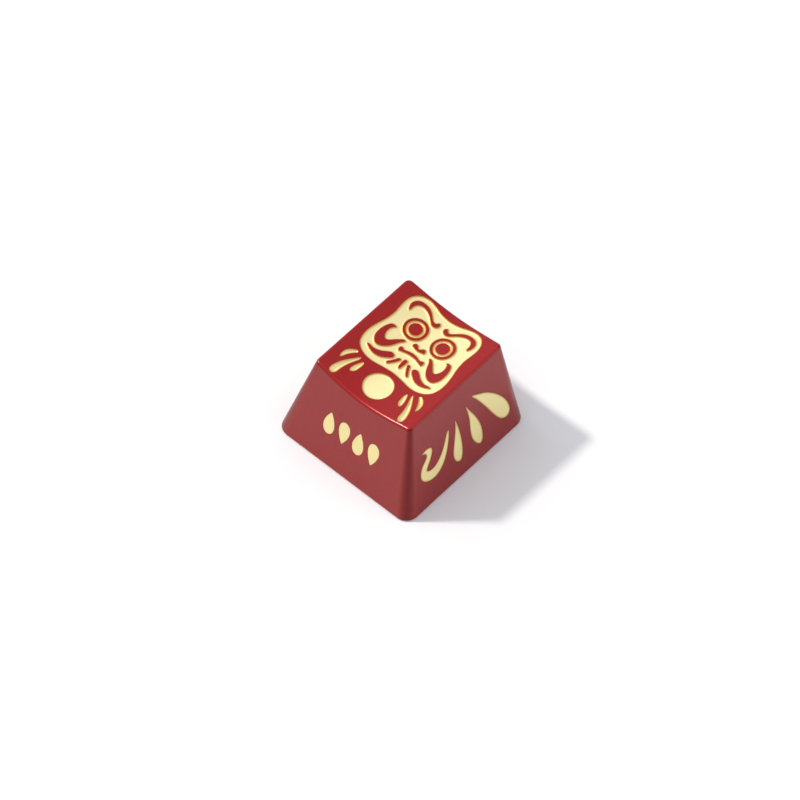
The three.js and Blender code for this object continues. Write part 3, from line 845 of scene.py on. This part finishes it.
def row_tree(material):
    """Repeats a piece along X, each one turned about Z from the one before."""
    tree = bpy.data.node_groups.new("row_of_pieces", "GeometryNodeTree")
    face = tree.interface
    face.new_socket("Geometry", in_out="INPUT", socket_type="NodeSocketGeometry")
    face.new_socket("Count", in_out="INPUT", socket_type="NodeSocketInt")
    face.new_socket("Pitch", in_out="INPUT", socket_type="NodeSocketFloat")
    face.new_socket("Turn", in_out="INPUT", socket_type="NodeSocketFloat")
    face.new_socket("Geometry", in_out="OUTPUT", socket_type="NodeSocketGeometry")
    given = add_node(tree, "NodeGroupInput").outputs
    gaps = add_node(tree, "ShaderNodeMath", {0: given["Count"], 1: 1}, operation="SUBTRACT")
    length = add_node(tree, "ShaderNodeMath", {0: gaps.outputs[0], 1: given["Pitch"]},
                      operation="MULTIPLY")
    first = add_node(tree, "ShaderNodeMath", {0: length.outputs[0], 1: -0.5}, operation="MULTIPLY")
    start = add_node(tree, "ShaderNodeCombineXYZ", {"X": first.outputs[0]})
    step = add_node(tree, "ShaderNodeCombineXYZ", {"X": given["Pitch"]})
    line = add_node(
        tree, "GeometryNodeMeshLine",
        {"Count": given["Count"], "Start Location": start.outputs[0], "Offset": step.outputs[0]},
    )
    index = add_node(tree, "GeometryNodeInputIndex")
    turned = add_node(tree, "ShaderNodeMath", {0: index.outputs[0], 1: given["Turn"]},
                      operation="MULTIPLY")
    about_z = add_node(tree, "ShaderNodeCombineXYZ", {"Z": turned.outputs[0]})
    rotation = add_node(tree, "FunctionNodeEulerToRotation", {0: about_z.outputs[0]})
    placed = add_node(
        tree, "GeometryNodeInstanceOnPoints",
        {"Points": line.outputs[0], "Instance": given["Geometry"], "Rotation": rotation.outputs[0]},
    )
    real = add_node(tree, "GeometryNodeRealizeInstances", {0: placed.outputs[0]})
    coated = add_node(tree, "GeometryNodeSetMaterial",
                      {"Geometry": real.outputs[0], "Material": material})
    add_node(tree, "NodeGroupOutput", {0: coated.outputs[0]})
    return tree


def repeated(piece, tree, **values):
    """Runs a tree on a piece and keeps the result as the piece's own mesh."""
    modifier = piece.modifiers.new(tree.name, "NODES")
    modifier.node_group = tree
    for item in tree.interface.items_tree:
        if item.item_type == "SOCKET" and item.in_out == "INPUT" and item.name in values:
            modifier[item.identifier] = values[item.name]
    return settled(piece)


def settled(piece):
    """The piece with its modifiers applied."""
    graph = bpy.context.evaluated_depsgraph_get()
    mesh = bpy.data.meshes.new_from_object(piece.evaluated_get(graph))
    piece.modifiers.clear()
    piece.data = mesh
    return piece


def front_dabs(tree):
    """The fills of the front wall: one drop, repeated and turned about along a row."""
    plane = WALLS["front"]
    outline = plane.drawn(smooth(dab_points()))
    levels = [level(outline, -SIDE_INLAY_THICKNESS), level(outline, -LIP)]
    row = repeated(solid("front_dabs_fill", levels), tree, Count=DAB_COUNT, Pitch=DAB_PITCH * MM,
                   Turn=math.pi)
    row.data.transform(plane.matrix() @ Matrix.Translation((0, DAB_LINE * plane.climb * MM, 0)))
    return row


# ---------------------------------------------------------------- stem insert

def solid(name, rows):
    """A closed solid from rows of points, lowest first, each counter-clockwise from above."""
    skin = Skin()
    for lower, upper in zip(rows, rows[1:]):
        skin.strip(lower, upper)
    last = len(rows[0])
    skin.add(rows[0], [list(range(last))[::-1]])
    skin.add(rows[-1], [list(range(last))])
    return skin.build(name)


def level(loop, z):
    return np.column_stack([loop, np.full(len(loop), z)])


def cross_loop(span, slot):
    """A plus sign, counter-clockwise."""
    s, w = span / 2, slot / 2
    arm = [(s, -w), (s, w), (w, w)]
    turned = [(x * c - y * d, x * d + y * c) for c, d in ((1, 0), (0, 1), (-1, 0), (0, -1))
              for x, y in arm]
    return np.array(turned)


def block_loop(near, far, thickness):
    """A bar along X, seen from above."""
    t = thickness / 2
    return np.array([(near, -t), (far, -t), (far, t), (near, t)])


def joined(piece, others, operation):
    """The piece with the others added to it or cut out of it."""
    for other in others:
        modifier = piece.modifiers.new(operation.lower(), "BOOLEAN")
        modifier.operation = operation
        modifier.solver = "EXACT"
        modifier.object = other
        settled(piece)
        bpy.data.objects.remove(other)
    return piece


def stem_moulding(tree):
    """The stem insert: plate, boss and gussets in one moulding, with socket and marks cut in."""
    plate_top = CEILING - GLUE_LINE
    plate_bottom = plate_top - PLATE_THICKNESS
    inside_plate = plate_bottom + PLATE_THICKNESS / 2
    reach = WALL + PLATE_CLEARANCE
    plate = solid("stem_moulding", [
        ring(plate_bottom, reach, CAVITY_CORNER_RADIUS),
        ring(plate_top, reach, CAVITY_CORNER_RADIUS),
    ])
    radius = BOSS_DIAMETER / 2
    boss = solid("boss", [
        level(circle(0, 0, radius, DISC_POINTS), BOSS_RECESS),
        level(circle(0, 0, radius, DISC_POINTS), inside_plate),
    ])
    foot = plate_bottom - GUSSET_HEIGHT
    root = radius * GUSSET_ROOT
    end = radius + GUSSET_REACH
    tip = block_loop(root, end - GUSSET_TIP_DRAFT, GUSSET_THICKNESS - GUSSET_SIDE_DRAFT)
    bar = block_loop(root, end, GUSSET_THICKNESS)
    levels = [level(tip, foot), level(bar, foot + GUSSET_TIP_HEIGHT), level(bar, inside_plate)]
    gussets = repeated(solid("gussets", levels), tree, Count=GUSSET_COUNT, Pitch=0.0,
                       Turn=2 * math.pi / GUSSET_COUNT)
    flare = cross_loop(SOCKET_SPAN + SOCKET_LEAD_FLARE, SOCKET_SLOT + SOCKET_LEAD_FLARE)
    slots = cross_loop(SOCKET_SPAN, SOCKET_SLOT)
    socket = solid("socket", [
        level(flare, BOSS_RECESS - SOCKET_LEAD),
        level(slots, BOSS_RECESS + SOCKET_LEAD),
        level(slots, BOSS_RECESS + SOCKET_DEPTH),
    ])
    corner = end * EJECTOR_MARK_PLACE
    mark = circle(corner, corner, EJECTOR_MARK_RADIUS, MARK_POINTS)
    ends = (plate_bottom - CUTTER_LENGTH, plate_bottom + EJECTOR_MARK_DEPTH)
    levels = [level(mark, z) for z in ends]
    marks = repeated(solid("marks", levels), tree, Count=GUSSET_COUNT, Pitch=0.0,
                     Turn=2 * math.pi / GUSSET_COUNT)
    joined(plate, [boss, gussets], "UNION")
    joined(plate, [socket, marks], "DIFFERENCE")
    bevel = plate.modifiers.new("moulded_edges", "BEVEL")
    bevel.width = MOULDED_EDGE * MM
    bevel.segments = 2
    bevel.limit_method = "ANGLE"
    bevel.angle_limit = MOULDED_EDGE_ANGLE
    settled(plate)
    finish_mesh(plate.data)
    return plate


# ---------------------------------------------------------------- finishes

def new_material(name):
    material = bpy.data.materials.new(name)
    material.use_nodes = True
    material.node_tree.nodes.clear()
    return material, material.node_tree


def show(tree, shader):
    add_node(tree, "ShaderNodeOutputMaterial", {"Surface": shader.outputs[0]})


def red_lacquer():
    """Candy red lacquer sprayed over a bright die-cast cap.

    The metal under the tinted film gives the red its depth, and the satin film over it
    catches a soft light from the pale surroundings. The faces that look up are painted a
    clearer, lighter red than the walls, as painted light. The upright corners are painted a
    darker red with less coat gloss, as painted shade. The film's flakes are about 0.03 mm and
    the casting's grain about 0.05 mm, too fine to show, so they are drawn 0.11 and 0.09 mm across.
    """
    material, tree = new_material("satin_candy_lacquer_on_die_cast_zinc")
    coordinates = add_node(tree, "ShaderNodeTexCoord").outputs
    place = coordinates["Object"]
    facing = add_node(tree, "ShaderNodeSeparateXYZ", {0: coordinates["Normal"]})
    # Painted light: the faces that look up are mixed towards a lighter, clearer red
    painted_top_light = add_node(tree, "ShaderNodeMapRange", {"Value": facing.outputs["Z"], "From Min": 0.5,
                                                   "From Max": 0.9, "To Max": 0.27})
    # Painted shade: the upright corners are mixed towards a dark red and given less coat gloss
    painted_corner_shade = add_node(tree, "ShaderNodeAttribute", attribute_name="edge").outputs["Fac"]
    cloud = add_node(tree, "ShaderNodeTexNoise", {"Vector": place, "Scale": 1 / (FILM_CLOUD * MM),
                                                  "Detail": 3.0, "Roughness": 0.6})
    flakes = add_node(tree, "ShaderNodeTexNoise", {"Vector": place, "Scale": 1 / (FLAKE * MM),
                                                   "Detail": 2.0, "Roughness": 0.7})
    film = add_node(tree, "ShaderNodeMix", {"Factor": cloud.outputs["Fac"], "A": linear("#9f0e0b"),
                                            "B": linear("#a9100d")}, data_type="RGBA")
    spread = add_node(tree, "ShaderNodeMapRange", {"Value": flakes.outputs["Fac"],
                                                   "From Min": 0.35, "From Max": 0.65})
    flecked = add_node(tree, "ShaderNodeMix", {"Factor": spread.outputs[0],
                                               "A": linear("#860c09"), "B": film.outputs["Result"]},
                       data_type="RGBA")
    # Mixes in the painted light on the faces that look up
    deep = add_node(tree, "ShaderNodeMix", {"Factor": painted_top_light.outputs[0],
                                            "A": flecked.outputs["Result"],
                                            "B": linear("#c80c10")}, data_type="RGBA")
    # Mixes in the painted shade on the upright corners
    colour = add_node(tree, "ShaderNodeMix", {"Factor": painted_corner_shade, "A": deep.outputs["Result"],
                                              "B": linear("#7a0806")}, data_type="RGBA")
    gloss = add_node(tree, "ShaderNodeMapRange", {"Value": painted_corner_shade, "To Min": 1.0, "To Max": 0.6})
    peel = add_node(tree, "ShaderNodeTexNoise", {"Vector": place, "Scale": 1 / (ORANGE_PEEL * MM),
                                                 "Detail": 2.0})
    grain = add_node(tree, "ShaderNodeTexNoise", {"Vector": place, "Detail": 2.0,
                                                  "Scale": 1 / (CASTING_GRAIN * MM)})
    wavy = add_node(tree, "ShaderNodeBump", {"Height": peel.outputs["Fac"], "Strength": 1.0,
                                             "Distance": COAT_RELIEF * MM})
    rough = add_node(tree, "ShaderNodeBump", {"Height": grain.outputs["Fac"], "Strength": 1.0,
                                              "Distance": COAT_RELIEF * MM,
                                              "Normal": wavy.outputs[0]})
    shader = add_node(tree, "ShaderNodeBsdfPrincipled", {
        "Base Color": colour.outputs["Result"], "Metallic": 0.42, "Roughness": 0.48,
        "Specular IOR Level": 0.0, "Normal": rough.outputs[0], "Coat Weight": gloss.outputs[0],
        "Coat Roughness": 0.25, "Coat Normal": wavy.outputs[0],
    })
    show(tree, shader)
    return material


def gold_plate(name, low, high, rim, roughness, grain_width):
    """Electroplated pale gold, near white in the light, painted a deeper colour along its edges,
    as painted reflection of the red coat and painted shade.

    The plate's grain is a few hundredths of a millimetre. It is drawn coarser, so that it shows.
    """
    material, tree = new_material(name)
    place = add_node(tree, "ShaderNodeTexCoord").outputs["Object"]
    # Share of the painted rim: painted reflection of the red coat and painted shade along the edges
    painted_rim_share = add_node(tree, "ShaderNodeAttribute", attribute_name="edge").outputs["Fac"]
    grain = add_node(tree, "ShaderNodeTexNoise", {"Vector": place, "Detail": 3.0,
                                                  "Scale": 1 / (grain_width * MM)})
    cloud = add_node(tree, "ShaderNodeTexNoise", {"Vector": place, "Scale": 1 / (GOLD_CLOUD * MM),
                                                  "Detail": 2.0})
    plain = add_node(tree, "ShaderNodeMix", {"Factor": cloud.outputs["Fac"], "A": linear(low),
                                             "B": linear(high)}, data_type="RGBA")
    # Mixes in the painted reflection and painted shade along the gold's edges
    colour = add_node(tree, "ShaderNodeMix", {"Factor": painted_rim_share, "A": plain.outputs["Result"],
                                              "B": linear(rim)}, data_type="RGBA")
    bump = add_node(tree, "ShaderNodeBump", {"Height": grain.outputs["Fac"], "Strength": 1.0,
                                             "Distance": GOLD_RELIEF * MM})
    shader = add_node(tree, "ShaderNodeBsdfPrincipled", {
        "Base Color": colour.outputs["Result"], "Metallic": 1.0, "Roughness": roughness,
        "Normal": bump.outputs[0], "Coat Weight": 0.4, "Coat Roughness": 0.12,
    })
    show(tree, shader)
    return material


def acetal():
    """Injection-moulded natural acetal: milky white, waxy, with a faint spark-eroded texture.

    The texture's pits are about 0.05 mm. They are drawn 0.12 mm across, so that they show.
    """
    material, tree = new_material("moulded_natural_acetal")
    place = add_node(tree, "ShaderNodeTexCoord").outputs["Object"]
    pits = add_node(tree, "ShaderNodeTexNoise", {"Vector": place, "Scale": 1 / (SPARK_PIT * MM),
                                                 "Detail": 2.0})
    flow = add_node(tree, "ShaderNodeTexNoise", {"Vector": place, "Scale": 1 / (MELT_FLOW * MM)})
    colour = add_node(tree, "ShaderNodeMix", {"Factor": flow.outputs["Fac"], "A": linear("#ece8dc"),
                                              "B": linear("#f4f1e8")}, data_type="RGBA")
    bump = add_node(tree, "ShaderNodeBump", {"Height": pits.outputs["Fac"], "Strength": 1.0,
                                             "Distance": PIT_DEPTH * MM})
    shader = add_node(tree, "ShaderNodeBsdfPrincipled", {
        "Base Color": colour.outputs["Result"], "Roughness": 0.4, "IOR": 1.48,
        "Subsurface Weight": 0.3, "Subsurface Scale": 0.4 * MM, "Normal": bump.outputs[0],
    })
    show(tree, shader)
    return material


def white_board():
    """Matt white board that the cap stands on."""
    material, tree = new_material("matt_white_board")
    place = add_node(tree, "ShaderNodeTexCoord").outputs["Object"]
    fibre = add_node(tree, "ShaderNodeTexNoise", {"Vector": place, "Scale": 1 / (BOARD_FIBRE * MM)})
    bump = add_node(tree, "ShaderNodeBump", {"Height": fibre.outputs["Fac"], "Strength": 0.1,
                                             "Distance": FIBRE_RELIEF * MM})
    shader = add_node(tree, "ShaderNodeBsdfPrincipled", {
        "Base Color": linear("#fdfdfe"), "Roughness": 0.85, "Normal": bump.outputs[0],
    })
    show(tree, shader)
    return material


# ---------------------------------------------------------------- the pieces

def stand_for(piece, nodes, material):
    piece.data.materials.clear()
    piece.data.materials.append(material)
    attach(piece, "root")
    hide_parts(*nodes)


lacquer = red_lacquer()
# The third colour of each gold is its painted rim: painted reflection of the red coat and painted
# shade
bright_gold = gold_plate("bright_plated_gold", "#fbeeb4", "#fff4be", "#e2a443", 0.6, 0.1)
satin_gold = gold_plate("satin_plated_gold", "#f8ecb0", "#fdf1b8", "#d0b268", 0.7, 0.07)
natural_acetal = acetal()
gilding_row = row_tree(satin_gold)
moulded_row = row_tree(natural_acetal)

top = top_inlays()
walls = wall_inlays()
shell = cap_shell(top, walls).build("cap_casting")
stand_for(shell, ["keycap_shell"], lacquer)
for inlay in top:
    stand_for(inlay.skin.build(f"{inlay.name}_plating"), [inlay.name], bright_gold)
for side in SIDES:
    for inlay in walls[side]:
        stand_for(inlay.skin.build(f"{inlay.name}_fill"), [inlay.name], satin_gold)
dabs = [inlay.name for inlay in walls["front"]]
stand_for(front_dabs(gilding_row), dabs, satin_gold)
stand_for(stem_moulding(moulded_row), ["stem_insert"], natural_acetal)


# ---------------------------------------------------------------- stage

def softbox(name, around, elevation, width, height, radiance, colour="#ffffff"):
    """An area light that faces the cap, seen from it as bright as its radiance.

    around is counted in degrees from the right of the view, over the far side of the cap, to
    its left.
    """
    data = bpy.data.lights.new(name, "AREA")
    data.shape = "ELLIPSE"
    data.size = width
    data.size_y = height
    data.energy = radiance * math.pi * math.pi * width * height / 4
    data.color = linear(colour)[:3]
    lamp = bpy.data.objects.new(name, data)
    bpy.context.scene.collection.objects.link(lamp)
    a, e = math.radians(around + VIEW_AZIMUTH), math.radians(elevation)
    towards = Vector((math.cos(a) * math.cos(e), math.sin(a) * math.cos(e), math.sin(e)))
    lamp.location = Vector(CAP_MIDDLE) * MM + towards * LIGHT_DISTANCE
    lamp.rotation_mode = "QUATERNION"
    lamp.rotation_quaternion = towards.to_track_quat("Z", "Y")


def camera(azimuth, elevation, roll, distance, lens, shift):
    data = bpy.data.cameras.new("camera")
    data.lens = lens
    data.shift_x, data.shift_y = shift
    data.clip_start = 0.01
    data.clip_end = 20
    obj = bpy.data.objects.new("camera", data)
    bpy.context.scene.collection.objects.link(obj)
    a, e = math.radians(azimuth), math.radians(elevation)
    back = Vector((math.sin(a) * math.cos(e), -math.cos(a) * math.cos(e), math.sin(e)))
    right = Vector((math.cos(a), math.sin(a), 0))
    right.rotate(Matrix.Rotation(math.radians(roll), 3, back))
    turn = Matrix((right, back.cross(right), back)).transposed().to_4x4()
    place = Vector(CAP_MIDDLE) * MM + back * distance
    obj.matrix_world = Matrix.Translation(place) @ turn
    bpy.context.scene.camera = obj


def floor():
    half = FLOOR_HALF
    corners = [(-half, -half, 0), (half, -half, 0), (half, half, 0), (-half, half, 0)]
    mesh = bpy.data.meshes.new("floor")
    mesh.from_pydata(corners, [], [(0, 1, 2, 3)])
    mesh.materials.append(white_board())
    obj = bpy.data.objects.new("floor", mesh)
    bpy.context.scene.collection.objects.link(obj)


def surroundings(colour, strength):
    world = bpy.data.worlds.new("studio")
    world.use_nodes = True
    background = world.node_tree.nodes["Background"]
    background.inputs["Color"].default_value = linear(colour)
    background.inputs["Strength"].default_value = strength
    bpy.context.scene.world = world


floor()
surroundings("#f6f8ff", 0.52)
softbox("key_lamp", 157.7, 47.4, width=0.05, height=0.05, radiance=335, colour="#fffbf4")
softbox("left_softbox", 149, 44, width=0.44, height=0.36, radiance=1.25)
softbox("right_softbox", 345, 28, width=0.5, height=0.34, radiance=1.08)
softbox("back_softbox", 100, 42, width=0.4, height=0.3, radiance=0.2)
softbox("top_softbox", 340, 74, width=0.4, height=0.4, radiance=0.55)
camera(VIEW_AZIMUTH, elevation=54.3952, roll=-0.2104, distance=0.40885, lens=183.3,
       shift=(-0.0013, -0.00436))
bpy.context.scene.view_settings.view_transform = "Standard"
